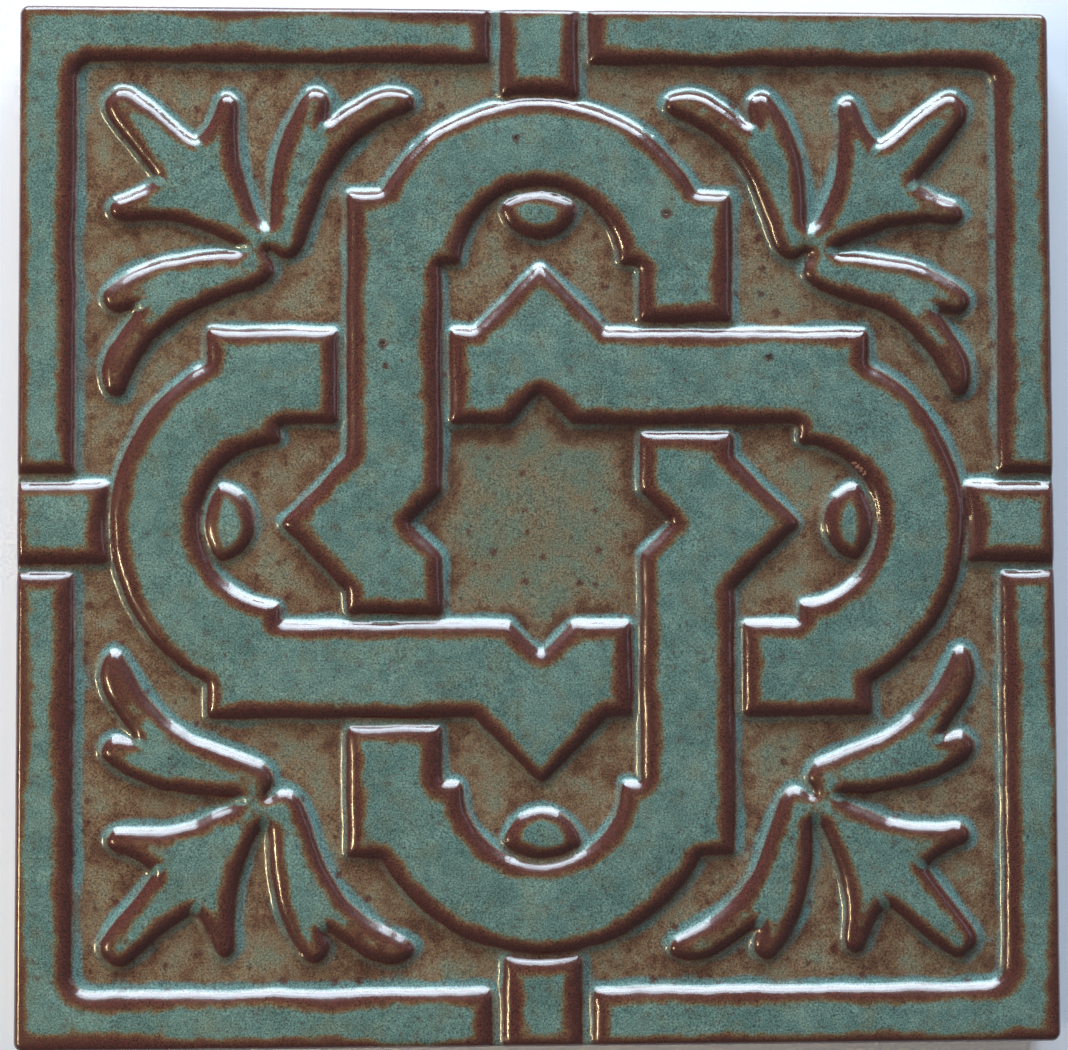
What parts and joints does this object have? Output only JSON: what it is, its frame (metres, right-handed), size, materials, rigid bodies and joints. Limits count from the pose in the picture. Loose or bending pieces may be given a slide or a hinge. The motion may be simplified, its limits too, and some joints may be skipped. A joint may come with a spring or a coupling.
{
  "type": "art tile",
  "caption": "Square relief tile with interlaced strapwork, round lobes and corner leaf sprays inside a broken border, under a pooled satin glaze.",
  "frame": {"origin": "middle of the flat back face", "axes": "+Z out of the decorated face, +X to the right and +Y up as the face is seen in the picture"},
  "size_m": [0.1524, 0.1524, 0.0127],
  "materials": {
    "glaze": "Satin-gloss teal glaze, pooled in the sunk field as mottled brown and grey-green, broken to red-brown and dark brown along every raised edge; sides and back are bare buff clay."
  },
  "bodies": {
    "root": {"relief_tile": "glaze"}
  },
  "joints": []
}
